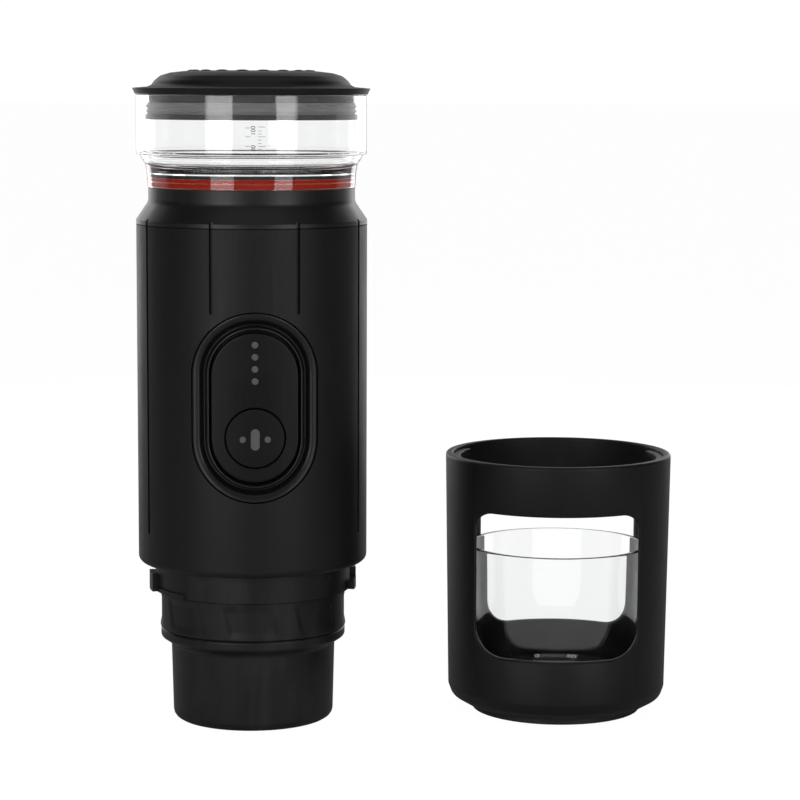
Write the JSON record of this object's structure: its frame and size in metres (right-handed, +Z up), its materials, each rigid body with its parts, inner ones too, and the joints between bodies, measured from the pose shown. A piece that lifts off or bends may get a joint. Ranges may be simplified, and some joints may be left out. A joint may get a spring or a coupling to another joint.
{
  "type": "portable espresso maker",
  "caption": "Battery espresso maker with a clear water tank, a push button panel and a stepped outlet, beside a windowed cup sleeve that holds a clear cup.",
  "frame": {"origin": "centre of the machine's outlet cup base, on the surface it stands on", "axes": "+Z up along the machine, -Y towards the control panel's side, +X towards the cup sleeve"},
  "size_m": [0.171, 0.0782, 0.204],
  "materials": {
    "shell_black": "fine matte, soft touch",
    "tier_black": "satin moulded",
    "panel_black": "smooth matte",
    "clear_plastic": "clear, polished",
    "light_window": "translucent grey, unlit",
    "orange_silicone": "soft matte silicone",
    "grey_silicone": "soft matte silicone",
    "black_silicone": "soft matte silicone",
    "steel": "brushed stainless",
    "screw_steel": "plated screws",
    "board_green": "solder mask",
    "chip_black": "moulded chip packages",
    "led_white": "light chip packages",
    "frame_plastic": "glass filled nylon",
    "gear_plastic": "acetal",
    "cell_sleeve": "shrink sleeve",
    "nickel_strip": "nickel strip",
    "motor_steel": "plated can",
    "heater_ceramic": "heater disc in its potting",
    "tube_silicone": "translucent silicone hose",
    "lead_red": "silicone insulation"
  },
  "bodies": {
    "machine": {"tank_seal": "orange_silicone", "top_collar": "shell_black", "body_shell": "shell_black", "control_bezel": "panel_black", "control_plate": "panel_black", "battery_light_guide": "light_window", "control_board": "board_green", "board_screws": "screw_steel", "led_chips": "led_white", "tact_switch": "chip_black", "heating_cup": "steel", "cup_outlet": "steel", "inlet_strainer": "steel", "heater_plate": "heater_ceramic", "temperature_probe": "steel", "thermal_fuse": "steel", "inner_frame": "frame_plastic", "frame_screws": "screw_steel", "collar_screws": "screw_steel", "battery_cells": "cell_sleeve", "battery_straps": "nickel_strip", "battery_cradle_lower": "frame_plastic", "battery_cradle_upper": "frame_plastic", "pump_housing": "frame_plastic", "pump_cover": "frame_plastic", "pump_screws": "screw_steel", "pump_motor": "motor_steel", "suction_tube": "tube_silicone", "delivery_tube": "tube_silicone", "power_leads": "lead_red", "main_board": "board_green", "board_components": "chip_black", "charge_board": "board_green", "usb_socket": "steel", "port_cover_pin": "steel", "brew_head": "tier_black", "head_inlet": "steel", "check_valve": "black_silicone", "head_gasket": "black_silicone", "shower_screen": "steel", "shower_screw": "screw_steel"},
    "tank": {"water_tank": "clear_plastic"},
    "lid": {"lid_cap": "shell_black", "lid_seal": "grey_silicone", "lid_plug": "panel_black"},
    "button": {"brew_button": "panel_black", "button_light_guide": "light_window"},
    "port_flap": {"port_cover": "black_silicone"},
    "basket": {"filter_basket": "steel"},
    "holder": {"outlet_cup": "tier_black", "basket_carrier": "tier_black", "carrier_seal": "black_silicone"},
    "ring": {"lock_ring": "tier_black"},
    "pump_drive": {"pump_drive_gear": "gear_plastic", "pump_shaft": "steel"},
    "pump_idler": {"pump_idler_gear": "gear_plastic"},
    "sleeve": {"cup_holder": "shell_black", "holder_foot": "black_silicone"},
    "espresso_cup": {"cup": "clear_plastic"}
  },
  "joints": [
    {"name": "tank_lift", "type": "slide", "parent": "machine", "child": "tank", "axis": [0, 0, 1], "range_m": [0, 0.03]},
    {"name": "lid_lift", "type": "slide", "parent": "tank", "child": "lid", "axis": [0, 0, 1], "range_m": [0, 0.025]},
    {"name": "button_press", "type": "slide", "parent": "machine", "child": "button", "axis": [0, 1, 0], "range_m": [0, 0.0007], "stiffness_N_per_m": 600},
    {"name": "port_cover_swing", "type": "hinge", "parent": "machine", "child": "port_flap", "pos_m": [0, 0.0345, 0.05723], "axis": [-1, 0, 0], "range_deg": [0, 90]},
    {"name": "basket_drop", "type": "slide", "parent": "machine", "child": "basket", "axis": [0, 0, -1], "range_m": [0, 0.03]},
    {"name": "holder_drop", "type": "slide", "parent": "basket", "child": "holder", "axis": [0, 0, -1], "range_m": [0, 0.02]},
    {"name": "lock_ring_twist", "type": "hinge", "parent": "holder", "child": "ring", "pos_m": [0, 0, 0.0323], "axis": [0, 0, 1], "range_deg": [0, 60]},
    {"name": "pump_drive_spin", "type": "hinge", "parent": "machine", "child": "pump_drive", "pos_m": [0, -0.01, 0.0687], "axis": [0, 0, 1], "continuous": true},
    {"name": "pump_idler_spin", "type": "hinge", "parent": "machine", "child": "pump_idler", "pos_m": [0, -0.01845, 0.0687], "axis": [0, 0, 1], "continuous": true},
    {"name": "sleeve_lift", "type": "slide", "parent": "machine", "child": "sleeve", "axis": [0, 0, 1], "range_m": [0, 0.04]},
    {"name": "cup_lift", "type": "slide", "parent": "sleeve", "child": "espresso_cup", "axis": [0, 0, 1], "range_m": [0, 0.08]}
  ],
  "couplings": [
    {"joint": "pump_idler_spin", "follows": "pump_drive_spin", "ratio": -1}
  ]
}
